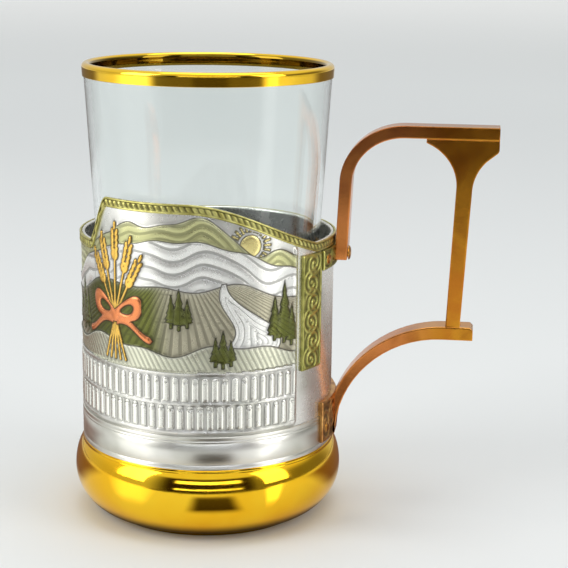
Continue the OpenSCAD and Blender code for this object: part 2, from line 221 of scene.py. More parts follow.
class Sheet:
    """The nodes of one material, or of the world."""

    def __init__(self, tree):
        self.tree = tree

    def node(self, kind, settings, sockets, output=0):
        made = self.tree.nodes.new("ShaderNode" + kind)
        for key, value in settings.items():
            setattr(made, key, value)
        for key, value in sockets.items():
            self.feed(made.inputs[key], value)
        return Number(self, made.outputs[output]) if made.outputs else None

    def feed(self, socket, value):
        if isinstance(value, Number):
            self.tree.links.new(value.socket, socket)
        else:
            socket.default_value = value

    def math(self, operation, *terms):
        return self.node("Math", {"operation": operation}, dict(enumerate(terms)))

    def most(self, first, second):
        return self.math("MAXIMUM", first, second)

    def hypot(self, x, y):
        return self.math("SQRT", x * x + y * y)

    def rise(self, value, low, high):
        """0 below low, 1 above high, with a soft step between."""
        return self.node("MapRange", {"interpolation_type": "SMOOTHSTEP"},
                         {"Value": value, "From Min": low, "From Max": high})

    def band(self, value, rising, full, falling, gone):
        """1 from full to falling, with a soft step on either side."""
        return self.rise(value, rising, full) * (1 - self.rise(value, falling, gone))

    def mix(self, factor, first, second):
        return self.node("Mix", {"data_type": "RGBA"}, {0: factor, 6: first, 7: second}, output=2)

    def object_place(self):
        return self.node("TexCoord", {}, {}, output="Object")

    def split(self, vector):
        """The three parts of a vector."""
        return [self.node("SeparateXYZ", {}, {0: vector}, output=i) for i in range(3)]

    def ray(self, kind):
        """1 for rays of one kind: Camera, Glossy or Transmission."""
        return self.node("LightPath", {}, {}, output="Is " + kind + " Ray")

    def noise(self, scale, detail=3.0, stretch=(1, 1, 1)):
        spread = self.node("Mapping", {}, {"Vector": self.object_place(), "Scale": stretch})
        return self.node("TexNoise", {}, {"Vector": spread, "Scale": scale, "Detail": detail})

    def field(self, name):
        return self.node("Attribute", {"attribute_name": name}, {}, output="Fac")

    def stripe(self, value, pitch, width):
        """1 on lines that repeat every pitch, with soft sides."""
        phase = self.math("PINGPONG", value, pitch / 2)
        return 1 - self.rise(phase, width * 0.35, width * 0.65)


class Finish(Sheet):
    """A material on the Principled shader."""

    def __init__(self, name, **constants):
        self.material = bpy.data.materials.new(name)
        self.material.use_nodes = True
        super().__init__(self.material.node_tree)
        self.shader = self.tree.nodes["Principled BSDF"]
        for key, value in constants.items():
            self.set(key.replace("_", " ").title().replace("Ior", "IOR"), value)

    def set(self, socket, value):
        self.feed(self.shader.inputs[socket], value)

    def bump(self, height, depth_mm, strength=1.0):
        self.set("Normal", self.node("Bump", {}, {
            "Strength": strength, "Distance": depth_mm * MM, "Height": height}))


def rgb(red, green, blue):
    """A colour from the 0 to 255 values seen on a screen."""
    tone = [((c / 255 + 0.055) / 1.055) ** 2.4 for c in (red, green, blue)]
    return (*tone, 1.0)


NICKEL = rgb(238, 236, 230)
NICKEL_CLOUD = rgb(206, 206, 196)
WHITE_NICKEL = rgb(244, 243, 238)
TONGUE_NICKEL = rgb(240, 239, 230)
GILT = rgb(240, 192, 84)
PALE_GILT = rgb(236, 220, 150)
OLIVE_GILT = rgb(204, 203, 148)
OLIVE = rgb(102, 106, 52)
OLIVE_DARK = rgb(98, 102, 48)
SLATE = rgb(186, 180, 156)
PALE_SLATE = rgb(214, 214, 192)
COPPER = rgb(222, 134, 82)
INK = rgb(44, 42, 34)
# Dark brown of the painted shade on the lip band's inner face
INNER_BAND_SHADE = rgb(72, 56, 18)

# Gilt ornament: its colour and the tone that clouds it
ROPE_TONES = rgb(206, 200, 126), rgb(170, 162, 90)
OLIVE_TONES = rgb(196, 192, 112), rgb(160, 158, 84)
BROWN_TONES = rgb(212, 162, 96), rgb(160, 108, 60)


def polished_gold(name, colour, deep, rough, shaded_inside_r=None):
    """Plated gold with faint smears and hairline scratches, and painted shade making it darker inside a
    radius.
    """
    made = Finish(name, metallic=1.0)
    smear = made.noise(55.0, 4.0)
    hair = made.noise(420.0, 2.0, stretch=(1, 1, 9))
    tone = made.mix(made.rise(smear, 0.35, 0.75), colour, deep)
    # Painted shade: darker brown inside the radius, on the band's inner face
    if shaded_inside_r:
        x, y, _ = made.split(made.object_place())
        inner_shade = 1 - made.rise(made.hypot(x, y), (shaded_inside_r - 0.3) * MM, shaded_inside_r * MM)
        tone = made.mix(inner_shade * (0.72 + 0.2 * smear), tone, INNER_BAND_SHADE)
    made.set("Base Color", tone)
    smeared, scratched = made.rise(smear, 0.45, 0.7), made.rise(hair, 0.6, 0.75)
    made.set("Roughness", rough + 0.05 * smeared + 0.05 * scratched)
    made.bump(hair, 0.004, 0.5)
    return made


def handle_gold(name):
    """Gilt strip, brown from handling and bright along its edges."""
    amber, yellow, blush = rgb(198, 122, 40), rgb(228, 162, 48), rgb(232, 142, 88)
    brown, bright = rgb(150, 72, 30), rgb(248, 184, 108)
    made = Finish(name, metallic=1.0)
    patina = made.noise(95.0, 5.0)
    swell = made.noise(42.0, 1.0)
    brushed = made.noise(700.0, 2.0, stretch=(1, 0.12, 1))
    edge = made.field("edge")
    out, _, height = made.split(made.object_place())
    tone = made.mix(made.rise(patina, 0.32, 0.68), amber, yellow)
    tone = made.mix(0.7 * (1 - made.rise(out, 0.052, 0.066)), tone, blush)
    thumbed = made.rise(height, 0.098, 0.112) * (0.08 + 0.5 * made.rise(out, 0.044, 0.058))
    handled = made.most(0.5 * made.rise(patina, 0.5, 0.68), thumbed)
    tone = made.mix(handled, tone, brown)
    tone = made.mix(0.75 * made.rise(edge, 0.3, 1.0), tone, bright)
    made.set("Base Color", tone)
    made.set("Roughness", 0.12 + 0.16 * patina - 0.05 * edge)
    made.bump(swell * 12.0 + patina * 0.6 + brushed * 0.3, 0.03, 0.8)
    return made


def plain_nickel(name):
    """Plated sheet with soft brushing round the holder."""
    made = Finish(name, metallic=1.0)
    cloud = made.noise(60.0, 3.0)
    brushed = made.noise(260.0, 2.0, stretch=(0.3, 0.3, 6))
    clear, clouded = rgb(238, 236, 229), rgb(208, 207, 196)
    made.set("Base Color", made.mix(made.rise(cloud, 0.4, 0.75), clear, clouded))
    made.set("Roughness", 0.25 + 0.12 * brushed)
    made.bump(brushed, 0.006, 0.5)
    return made


def gilt_relief(name, colour, shade):
    """Matt gilt ornament with dark toning left in its hollows."""
    made = Finish(name, metallic=1.0)
    grain = made.noise(380.0, 3.0)
    hollow = made.field("hollow")
    tone = made.mix(made.rise(grain, 0.35, 0.7), colour, shade)
    made.set("Base Color", made.mix(0.72 * hollow, tone, INK))
    made.set("Roughness", 0.3 + 0.2 * hollow + 0.1 * grain)
    made.bump(grain, 0.015, 0.5)
    return made


def brushed_steel(name):
    made = Finish(name, metallic=1.0)
    grain = made.noise(500.0, 3.0, stretch=(1, 1, 0.2))
    made.set("Base Color", made.mix(grain, rgb(176, 174, 168), rgb(206, 204, 198)))
    made.set("Roughness", 0.28 + 0.2 * grain)
    made.bump(grain, 0.008, 0.5)
    return made


def clear_glass(name):
    """Pressed glass, a little uneven, with a faint cool tint in its thickness."""
    made = Finish(name, transmission_weight=1.0, ior=1.5, roughness=0.0)
    made.set("Base Color", rgb(250, 253, 252))
    made.bump(made.noise(26.0, 1.0), 0.05, 0.25)
    return made


def picture_nickel(name):
    """The sleeve's relief: nickel, gilt, copper and tinted parts, each where its field is above zero,
    with patina and painted shade.
    """
    made = Finish(name, metallic=0.86)
    grain = made.noise(330.0, 3.0)
    cloud = made.noise(70.0, 3.0)
    shown = made.field("shown")
    flow = made.field("flow")
    tone = made.mix(made.rise(cloud, 0.4, 0.75), NICKEL, NICKEL_CLOUD)
    dark = 0.0 * shown  # each layer below adds its engraved lines and its outline

    fine = made.stripe(flow, 1.0, 0.22)
    bold = made.stripe(flow, 1.0, 0.4)
    grass = made.mix(made.field("tilled"), SLATE, OLIVE)
    layers = [  # part, colour, kind and depth of its lines, width of its outline in mm
        ("far", OLIVE_GILT, bold, 0.4, 0.24),
        ("middle", WHITE_NICKEL, fine, 0.5, 0.24),
        ("meadow", grass, bold, 0.4, 0.24),
        ("river", WHITE_NICKEL, fine, 0.4, 0.22),
        ("bank", PALE_SLATE, bold, 0.35, 0.24),
        ("sun", PALE_GILT, fine, 0.0, 0.2),
        ("fir", OLIVE_DARK, fine, 0.3, 0.2),
        ("ear", GILT, fine, 0.0, 0.24),
        ("ribbon", COPPER, fine, 0.0, 0.24),
        ("tongue", TONGUE_NICKEL, fine, 0.0, 0.14),
    ]
    for part, colour, lines, depth, width in layers:
        field = made.field(part)
        mask = made.rise(field, -0.06, 0.06) * shown
        tone = made.mix(mask, tone, colour)
        dark = dark * (1 - mask) + mask * lines * depth
        outline = 1 - made.rise(made.math("ABSOLUTE", field), width * 0.5, width)
        strength = 0.55 if part == "tongue" else 0.8
        dark = made.most(dark, outline * shown * strength)
    dark = made.most(dark, 0.36 * made.field("hollow"))
    # Patina and painted shade round the raised layers join the engraved lines here
    toning = made.most(dark, made.field("patina_and_shade_halo") * (0.34 + 0.3 * cloud))
    tone = made.mix(0.45 * made.field("worn"), tone, NICKEL)
    made.set("Base Color", made.mix(toning, tone, INK))
    made.set("Roughness", 0.22 + 0.1 * grain + 0.2 * toning)
    made.bump(grain * (0.08 + 0.2 * shown) - dark, 0.09, 0.7)
    return made


# The picture on the sleeve: fields in mm, positive inside a part of it. Rivers, suns, firs and sheaves
# stand at an azimuth and a height, and are drawn in mm along the sleeve and up from there.

OUTSIDE = -9.0
KEPT_RANGE = 3.0
RIVERS = (-79, 112)
RIVER_HEAD = 71.0
SUNS = ((-62, 80.6), (70, 70.5))
SUN_R = 2.9
SHEAVES = [(-124.0, 60.5), (93.0, 56.5)]
STALKS = ((-0.55, 10.5), (-0.27, 14.5), (0, 17.5), (0.27, 14.5), (0.55, 10.5))  # lean, length
STALK_R = 0.42
FIRS = [  # azimuth, foot, height, half width
    (-45.5, 55.5, 15.5, 3.1), (-50.5, 56.5, 11, 2.3), (-41.4, 54.5, 10, 2.2),
    (-152, 55, 14, 2.9), (-147, 56, 10, 2.2), (-157.5, 56, 9, 2.0),
    (-96, 60.5, 7.5, 1.7), (-92.6, 60, 10, 2.1), (-89, 60.8, 6.5, 1.5),
    (-77, 50.5, 6.5, 1.6), (-73.8, 50, 9, 2.0), (-70.4, 50.6, 5.5, 1.5),
    (52, 54, 13, 2.8), (57, 55, 9, 2.1),
    (140, 54, 13, 2.8), (145, 55, 9.5, 2.2), (135.5, 55.5, 8, 1.9),
    (176, 55, 12, 2.6), (-179.5, 56, 8, 2.0),
]


def wave(az, *terms):
    """A sum of waves, each with its size, its count round the sleeve and its phase."""
    return sum(size * np.sin(np.radians(turns * az) + phase) for size, turns, phase in terms)


def steady(az):
    """The edge's height without its sharp corners, for what follows it from below."""
    return sum(edge_height(az + step) for step in (-16, -8, 0, 8, 16)) / 5


def true_distance(field, az, z):
    """Turns a field that is positive inside into mm from its outline, by its slope."""
    turn, rise, least_slope = 0.2, 0.1, 0.35
    here = field(az, z)
    across = (field(az + turn, z) - here) / (turn * DEGREE)
    up = (field(az, z + rise) - here) / rise
    return here / np.maximum(np.hypot(across, up), least_slope)


def apart(az, middle):
    """Signed distance along the sleeve from an azimuth, in mm."""
    return ((az - middle + 180) % 360 - 180) * DEGREE


def far_hills(az, z):
    valley = 4.5 * np.exp(-(apart(az, -62) / 7.0) ** 2)
    return steady(az) - 4.6 - valley + wave(az, (1.5, 4, 0.4), (0.9, 9, 1.9), (0.35, 21, 0.7)) - z


def middle_hills(az, z):
    swell = 4.2 * np.exp(-(apart(az, -69) / 11.0) ** 2)
    return steady(az) - 10.6 + swell + wave(az, (1.7, 3, 2.2), (1.2, 7, 0.3), (0.4, 17, 1.1)) - z


def meadow(az, z):
    low = 0.45 * (steady(az) - EDGE_Z)
    return 64.6 + low + wave(az, (1.3, 5, 0.8), (0.8, 11, 2.0)) - z


def river(az, z):
    """Two rivers wind down to the foreground, one at the front and one at the back."""
    best = None
    for middle in RIVERS:
        depth = np.clip((RIVER_HEAD - z) / 18.0, 0, 1)
        course = 7.5 * np.sin((z - 50) / 4.6) * (0.35 + 0.65 * depth) + 6
        width = 0.6 + 7.5 * depth ** 1.2
        here = np.minimum(width - np.abs(apart(az, middle) - course), RIVER_HEAD - z)
        best = here if best is None else np.maximum(best, here)
    return best


def bank(az, z):
    return 53.2 + wave(az, (1.3, 6, 2.6), (0.7, 13, 0.9)) - z


def ellipse(s, h, half_s, half_h):
    return (1 - np.sqrt((s / half_s) ** 2 + (h / half_h) ** 2)) * min(half_s, half_h)


def capsule(s, h, start, end, r):
    ds, dh = end[0] - start[0], end[1] - start[1]
    t = np.clip(((s - start[0]) * ds + (h - start[1]) * dh) / (ds * ds + dh * dh), 0, 1)
    return r - np.hypot(s - start[0] - t * ds, h - start[1] - t * dh)


def suns(az, z):
    """Discs with a ring of short rays, one every 15 degrees."""
    best = np.full_like(az, OUTSIDE)
    for middle, height in SUNS:
        s, h = apart(az, middle), z - height
        reach = np.hypot(s, h)
        best = np.maximum(best, SUN_R - reach)
        spoke = np.radians((np.degrees(np.arctan2(h, s)) + 7.5) % 15 - 7.5)
        ring = np.minimum(reach - 3.6, 5.8 - reach)
        best = np.maximum(best, np.minimum(0.3 - np.abs(spoke) * reach * 0.9, ring))
    return best


def firs(az, z):
    """Each fir is a crown in tiers on a short trunk."""
    best = np.full_like(az, OUTSIDE)
    for middle, foot, height, half in FIRS:
        aside = np.abs(apart(az, middle))
        t = (z - foot) / height
        tier = 1 - ((1 - t) * 4.5 % 1.0)
        width = half * (1 - t) * (1.12 - 0.34 * tier)
        crown = np.where((t > 0) & (t < 1), width - aside, -np.abs(t - 0.5) * height)
        trunk = np.minimum(0.45 - aside, np.minimum(z - foot + 1.6, 1.0 - z + foot))
        best = np.maximum(best, np.maximum(crown * 0.8, trunk))
    return best


def ears(az, z):
    """Sheaves of wheat: stalks through one knot, each with rows of grains and a long tip."""
    best = np.full_like(az, OUTSIDE)
    for middle, knot in SHEAVES:
        s, h = apart(az, middle), z - knot
        for lean, length in STALKS:
            tip = (lean * length * 0.95, length)
            best = np.maximum(best, capsule(s, h, (-lean * 6.5, -11.5), (0, 0), STALK_R))
            best = np.maximum(best, capsule(s, h, (0, 0), tip, STALK_R))
            way = Vector(tip).normalized()
            u = (s - tip[0]) * way[1] - (h - tip[1]) * way[0]
            v = (s - tip[0]) * way[0] + (h - tip[1]) * way[1]
            for row in range(5):
                for side in (-1, 1):
                    du, dv = u - side * 0.72, v - row * 1.55 + 1.6
                    best = np.maximum(best, ellipse(du - side * 0.28 * dv, dv, 0.62, 1.15))
            best = np.maximum(best, ellipse(u, v - 6.4, 0.55, 1.3))
    return best


def ribbons(az, z):
    """A plain ribbon tied round each sheaf, with two loops and two waving tails."""
    best = np.full_like(az, OUTSIDE)
    for middle, knot in SHEAVES:
        s, h = apart(az, middle), z - knot
        best = np.maximum(best, ellipse(s, h, 1.5, 1.7))
        for side in (-1, 1):
            t = side * s
            ring = np.hypot((t - 4.0) / 3.6, (h - 0.9 - 0.28 * t) / (0.9 + 0.28 * t))
            loop = 0.7 - np.abs(ring - 1) * 1.7
            best = np.maximum(best, np.where((t > 0) & (t < 9), loop, OUTSIDE))
            aside = np.abs(h - (-1.6 - 0.22 * t + 1.3 * np.sin(t / 2.3)))
            tail = np.minimum(1.0 - aside, np.minimum(t - 0.6, 12.0 - t - 0.9 * aside))
            best = np.maximum(best, tail)
    return best


def tongues(az, z):
    """Two rows of small upright tongues, the upper row set half a pitch over."""
    half, straight = 0.92, 5.6
    pitch = 360 / TONGUE_COUNT
    best = np.full_like(az, OUTSIDE)
    for row in range(2):
        s = ((az + row * pitch / 2) % pitch - pitch / 2) * DEGREE
        h = z - (TONGUES_LOW + row * TONGUE_ROW + 0.5)
        body = np.minimum(half - np.abs(s), np.minimum(h, straight - h))
        tip = half - np.hypot(s, h - straight)
        best = np.maximum(best, np.where(h > straight, tip, body))
    return best


def rounded(distance, half):
    """Section of a rounded bar from 0 at its sides to 1 along its middle."""
    return np.clip(1 - (distance / half) ** 2, 0, 1) ** 0.5


def beads(z):
    """Fine raised lines between the bands."""
    best = 0
    for height in (TONGUES_LOW - 0.3, TONGUES_LOW + TONGUE_ROW - 0.1, PICTURE_LOW - 0.5):
        best = np.maximum(best, rounded(z - height, 0.42))
    return best


def flow_lines(az, z, fields):
    """Engraved lines, at whole values: along the hills, the water, the furrows and the bank's rows."""
    flow = fields["far"] / 2.0 + wave(az, (0.4, 13, 0))
    flow = np.where(fields["middle"] > 0, fields["middle"] / 3.3 + wave(az, (0.5, 9, 1)), flow)
    furrow = apart(az, -92) / np.maximum(78 - z, 6) * 9.5
    flow = np.where(fields["meadow"] > 0, furrow, flow)
    flow = np.where(fields["river"] > 0, fields["river"] / 1.3 + wave(az, (0.3, 20, 0)), flow)
    return np.where(fields["bank"] > 0, apart(az, FRONT) / 1.5 + (z - 50) * 0.35, flow)


MAKERS = {"far": far_hills, "middle": middle_hills, "meadow": meadow, "river": river, "bank": bank,
          "sun": suns, "fir": firs, "ear": ears, "ribbon": ribbons}
MOTIFS = ("sun", "fir", "ear", "ribbon")
LAYER_LIFT = {"far": 0.34, "middle": 0.42, "meadow": 0.4, "river": 0.1, "bank": 0.5,
              "sun": 0.4, "fir": 0.5, "ear": 0.6, "ribbon": 0.62}
LINE_LIFT = 0.08
TONGUE_LIFT = 0.42
BEAD_LIFT = 0.4


def picture_fields(az, z, top):
    """Distance from the outline of each part of the picture, cut off at the picture's frame."""
    fields = {part: true_distance(maker, az, z) for part, maker in MAKERS.items()}
    fields["sun"] = np.minimum(fields["sun"], np.maximum(-fields["far"], OUTSIDE))
    framed = np.minimum(z - PICTURE_LOW, (top - z) * 2)
    return {part: np.where(framed > 0, field, np.minimum(field, framed))
            for part, field in fields.items()}


def layered(fields):
    """How high the picture's layers stand, how dark it is painted round each as patina and shade, and
    how worn their edges are.
    """
    relief = patina_and_shade_halo = worn = np.zeros_like(fields["far"])
    for part, lift in LAYER_LIFT.items():
        field, motif = fields[part], part in MOTIFS
        inside, depth = soft(field, -0.3, 0.3), np.maximum(field, 0)
        dome = 0.75 + 0.25 * soft(field, 0, 1.0) if motif else 0.2 + 0.8 * np.exp(-depth / 1.6)
        relief = relief * (1 - inside) + inside * lift * dome
        # Painted shade with patina: darker just outside each layer, more so the higher the layer stands
        fringe = np.exp(-np.maximum(-field, 0) / 0.75) * (field < 0.1)
        patina_and_shade_halo = np.maximum(patina_and_shade_halo * (1 - inside), fringe * min(lift * 1.6, 1))
        rubbed = (0.15 if motif else 1) * inside * np.exp(-depth / 0.45)
        worn = np.maximum(worn * (1 - inside), rubbed)
    return relief, patina_and_shade_halo, worn


def sleeve_outline():
    """Outer wall, rounded rim, inner wall and turned-in flange, before the edge is cut."""
    wall = line((SLEEVE_R, SEAT_Z + 0.15), (SLEEVE_R, COLLAR_TOP), 5)
    wall += line((SLEEVE_R, COLLAR_TOP), (SLEEVE_R, EDGE_Z - RIM_ROUND), 138)
    rim = arc(SLEEVE_R - RIM_ROUND, EDGE_Z - RIM_ROUND, RIM_ROUND, 0, 180, 6)
    bend = FLANGE_TOP + 0.3
    inner = line((SLEEVE_IN_R, EDGE_Z - 1.0), (SLEEVE_IN_R, bend), 8) + [(SLEEVE_IN_R, bend)]
    flange = [(SLEEVE_IN_R - 0.3, FLANGE_TOP), (FLANGE_IN_R, FLANGE_TOP), (FLANGE_IN_R, SEAT_Z),
              (SLEEVE_R - 0.2, SEAT_Z)]
    return wall + rim + inner + flange


def make_sleeve():
    """The sleeve, with its edge cut to the contour and its picture and tongues raised on it."""
    sleeve = piece("sleeve_wall", turned(sleeve_outline(), TONGUE_COUNT * 7), "holder", "sleeve",
                   picture_nickel("nickel_picture"))
    r, az, z = polar(points(sleeve))
    lift = np.clip((z - COLLAR_TOP) / (EDGE_Z - COLLAR_TOP), 0, 1)
    z = z + lift * (edge_height(az) - EDGE_Z)
    top = edge_height(az) - TRIM_H - 0.25
    outside = (r > SLEEVE_R - 0.02) & (z < top)
    from_handle = np.abs(apart(az, 0)) / DEGREE
    shown = outside * soft(from_handle, HANDLE_FIELD, HANDLE_FIELD + 2)
    picture = shown * soft(z, PICTURE_LOW, PICTURE_LOW + 0.3)

    fields = picture_fields(az, z, top)
    relief, patina_and_shade_halo, worn = layered(fields)
    flow = flow_lines(az, z, fields)
    lined = np.maximum(np.maximum(fields["far"], fields["middle"]), fields["meadow"])
    for part in MOTIFS:
        lined = np.minimum(lined, -fields[part])
    ridge = 0.5 - 0.5 * np.cos(2 * np.pi * flow)
    relief = (relief + LINE_LIFT * ridge * soft(lined, 0, 0.5)) * picture

    tongue = true_distance(tongues, az, z)
    relief = np.maximum(relief, shown * TONGUE_LIFT * soft(tongue, -0.2, 0.45))
    relief = np.maximum(relief, shown * BEAD_LIFT * beads(z))
    bars = rounded(from_handle - HANDLE_FIELD - 1.2, 0.8) * soft(z, COLLAR_TOP + 0.8, COLLAR_TOP + 1.4)
    relief = np.maximum(relief, outside * BEAD_LIFT * bars)
    relief = relief * soft(z, COLLAR_TOP + 0.3, COLLAR_TOP + 0.9) * soft(top - z, 0.0, 0.6)
    place(sleeve, r + relief, az, z)

    fields["tongue"] = tongue
    for part, field in fields.items():
        store(sleeve, part, np.clip(field, -KEPT_RANGE, KEPT_RANGE))
    # Patina and painted shade round the raised layers
    store(sleeve, "patina_and_shade_halo", patina_and_shade_halo * picture)
    store(sleeve, "worn", worn * picture)
    near_sheaf = [soft(30 - np.abs(apart(az, way)) / DEGREE, 0, 13) for way in (-124, 60)]
    store(sleeve, "tilled", sum(near_sheaf))
    store(sleeve, "flow", flow)
    store(sleeve, "shown", shown)
    in_band = shown * (z < PICTURE_LOW - 0.9) * (1 - beads(z))
    store(sleeve, "hollow", in_band * soft(-tongue, 0.0, 0.3))


# The other pieces of the sleeve and foot

def make_border():
    """The strip along the cut edge: a twisted rope between two beads."""
    bead, sunk, rope_half, rope_turns = 0.28, 0.2, 0.72, 132
    outline = [(TRIM_IN_R, 0), (TRIM_IN_R, TRIM_H)]
    outline += arc(TRIM_OUT_R - 0.15, TRIM_H - bead, bead, 90, -60, 6)
    outline += line((TRIM_OUT_R - sunk, TRIM_H - 0.6), (TRIM_OUT_R - sunk, 0.6), 9)
    outline += arc(TRIM_OUT_R - 0.15, bead, bead, 60, -90, 6)
    strip = piece("border_rope", turned(outline, 1080), "holder", "border_strip",
                  gilt_relief("gilt_rope", *ROPE_TONES))
    r, az, z = polar(points(strip))
    face, aside = r > TRIM_IN_R + 0.1, z - TRIM_H / 2
    rope = rounded(aside, rope_half) * face
    twist = 0.5 + 0.5 * np.cos(apart(az, FRONT) / SLEEVE_R * rope_turns + aside * 1.9)
    place(strip, r + 0.3 * rope * twist ** 0.7, az, z + edge_height(az) - TRIM_H)
    seams = np.clip(1 - (np.abs(aside) - rope_half) ** 2 / 0.02, 0, 1)
    store(strip, "hollow", face * (soft(rope, 0.0, 0.4) * (1 - twist) ** 2 + 0.8 * seams))


def make_collar():
    """The plain band over the joint, with three turned grooves."""
    groove, low = 0.14, FOOT_TOP + SOLDER
    outline = [(TRIM_IN_R, low), (TRIM_OUT_R, low)]
    for height in (22.2, 28.2, 28.9):
        outline += [(TRIM_OUT_R, height - 0.25), (TRIM_OUT_R - groove, height - 0.08),
                    (TRIM_OUT_R - groove, height + 0.08), (TRIM_OUT_R, height + 0.25)]
    outline += arc(TRIM_OUT_R - 0.2, COLLAR_TOP - 0.2, 0.2, 0, 90, 5) + [(TRIM_IN_R, COLLAR_TOP)]
    piece("joint_band", turned(outline, 360), "holder", "joint_collar",
          plain_nickel("nickel_plain"))


def make_foot():
    """The spun foot: web with a step for the sleeve, lip, shoulder, bulge and rolled bead."""
    web_low, sheet, step_r, lip_r = 18.0, 1.2, FLANGE_IN_R - SOLDER, 35.2
    bulge, bulge_r, upper_width, upper_height = (25.4, 12.0), 12.0, 4.0, 8.9
    shoulder, shoulder_r, bead, bead_r = (32.5, 15.911), 3.7, (28.2, 1.0), 1.0
    outline = [(BORE_R, web_low), (BORE_R, FLANGE_TOP), (step_r, FLANGE_TOP), (step_r, SEAT_Z)]
    outline += [(TRIM_IN_R, SEAT_Z), (TRIM_IN_R, FOOT_TOP - 0.15), (TRIM_IN_R + 0.15, FOOT_TOP)]
    outline += [(lip_r - 0.15, FOOT_TOP), (lip_r, FOOT_TOP - 0.15), (lip_r, 20.15)]
    turns = np.radians(np.linspace(63.3, 0, 33))
    upper_x = bulge[0] + bulge_r - upper_width
    outline += [(upper_x + upper_width * math.cos(t), bulge[1] + upper_height * math.sin(t))
                for t in turns[:-1]]
    outline += arc(*bulge, bulge_r, 0, -55.5, 40)
    outline += [(31.6, 1.86), (31.0, 1.9), (29.6, 1.95), (29.15, 1.8)]
    outline += arc(*bead, bead_r, 25, -180, 18)
    outline += [(27.2, 2.6), (27.5, 3.0), (28.5, 3.1)]
    outline += arc(*bulge, bulge_r - sheet, -54.5, 0, 30)
    outline += arc(*shoulder, shoulder_r, 0, 17, 6)
    outline += [(33.0, 17.0), (29.25, 17.0), (29.25, web_low)]
    piece("foot_turned", turned(outline, 384), "holder", "foot_shell",
          polished_gold("gold_foot", rgb(255, 206, 48), rgb(250, 190, 34), 0.07), sharp=50)


def make_floor():
    """The disc that the glass stands on, countersunk for the screw."""
    low, rim_r, corner = FLANGE_TOP + SOLDER, 33.5, 0.2
    outline = [(BORE_R, low), (rim_r - corner, low), (rim_r, low + corner),
               (rim_r, FLOOR_TOP - corner), (rim_r - corner, FLOOR_TOP),
               (4.0, FLOOR_TOP), (3.85, FLOOR_TOP - 0.1)]
    piece("floor_disc", turned(outline, 240), "holder", "floor_plate",
          brushed_steel("steel_floor"), sharp=30)


# The glass and its band

def make_glass():
    """The tapered tumbler: foot, outer wall, rounded lip, inner wall and thick base."""
    low, floor = FLOOR_TOP + 0.1, 26.0
    outline = line((0.0, low), (25.0, low), 6) + arc(25.0, low + 2.5, 2.5, -90, -3, 14)
    outline += line((27.52, 23.4), (33.62, 123.2), 30) + [(33.62, 123.2)]
    outline += arc(32.8, 123.28, 0.82, 0, 180, 16)
    outline += line((31.98, 123.2), (25.86, 31.4), 30)
    outline += arc(20.84, floor + 5.0, 5.0, 0, -90, 16)
    outline += line((20.84, floor), (0.0, floor), 6)[1:] + [(0.0, floor)]
    piece("tumbler", turned(outline, 300, closed=False), "glass", "glass_tumbler",
          clear_glass("glass_clear"), sharp=80)


def make_lip_band():
    """Gold sheet folded over the lip: up its outer face, down the inner one and back on the glass."""
    middle, outer_fold, inner_fold = 32.804, 1.226, 0.874
    low, high = 120.85, 123.27
    fall = 0.0625 * (high - low)
    outline = [(33.68 - fall, low), (34.0 - fall, low), (34.03 - fall, low + 0.05)]
    outline += line((34.03 - fall, low + 0.1), (34.03, high), 4)
    outline += arc(middle, high, outer_fold, 0, 180, 20)
    outline += line((31.578, high - 0.1), (31.578 - fall, low + 0.05), 4)
    outline += [(31.61 - fall, low), (31.93 - fall, low)]
    outline += line((31.93 - fall, low + 0.1), (31.93, high), 4)
    outline += arc(middle, high, inner_fold, 180, 0, 14)
    outline += line((33.678, high - 0.1), (33.68 - fall, low), 4)
    # Painted shade darkens the band's inner face, inside 32 mm
    gold = polished_gold("gold_lip", rgb(255, 210, 64), rgb(248, 194, 44), 0.05, shaded_inside_r=32.0)
    piece("lip_gold", turned(outline, 300), "glass", "lip_band", gold, sharp=60)


# Handle, pads, pilasters and fasteners

HANDLE_HALF = 3.5
EDGE_ROUND = 0.42
EDGE_INSET = 0.45
SIDE_STRIP = 0.8
BROAD_FACE_M2 = 6e-6

PLATE_TOP = 76.2
PILASTER_LOW = 45.0
PILASTER_SWEEP = 13.5
PILASTER_SHEET = 0.6
PAD_SWEEP = 41.0
UPPER_PAD_LOW = 70.8
UPPER_PAD_SHEET = 0.8
LOWER_PAD_LOW = 22.5
LOWER_PAD_TOP = 34.0
LOWER_PAD_SHEET = 0.7
SCROLL_LIFT = 0.32


def make_strip(name, node, finish):
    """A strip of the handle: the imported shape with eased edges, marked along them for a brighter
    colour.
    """
    bm = copied(node)
    corners = [e for e in bm.edges
               if len(e.link_faces) == 2 and e.calc_face_angle(0) > math.radians(40)]
    bmesh.ops.bevel(bm, geom=corners, affect="EDGES", offset=EDGE_ROUND * MM, offset_type="OFFSET",
                    segments=3, profile=0.5, material=-1, clamp_overlap=True)
    flats = [f for f in bm.faces if f.calc_area() > BROAD_FACE_M2 and abs(f.normal.y) > 0.99]
    bmesh.ops.inset_individual(bm, faces=flats, thickness=EDGE_INSET * MM,
                                   use_even_offset=True)
    for y in (SIDE_STRIP - HANDLE_HALF, HANDLE_HALF - SIDE_STRIP):
        bmesh.ops.bisect_plane(bm, geom=bm.verts[:] + bm.edges[:] + bm.faces[:], dist=1e-7,
                               plane_co=(0, y * MM, 0), plane_no=(0, 1, 0))
    bmesh.ops.triangulate(bm, faces=[f for f in bm.faces if len(f.verts) > 4])
    made = piece(name, bm, "holder", node, finish, sharp=35)
    from_side = HANDLE_HALF - np.abs(points(made)[:, 1]) / MM
    normals = np.empty(len(made.data.vertices) * 3)
    made.data.vertices.foreach_get("normal", normals)
    tilt = np.abs(normals.reshape(-1, 3)[:, 1])
    store(made, "edge", (tilt > 0.15) & (tilt < 0.97) & (from_side < 0.5))


def make_handle():
    gold = handle_gold("gold_handle")
    make_strip("handle_top_strip", "handle_hoop", gold)
    make_strip("handle_grip_strip", "handle_grip", gold)
    make_strip("handle_low_strip", "handle_arm", gold)


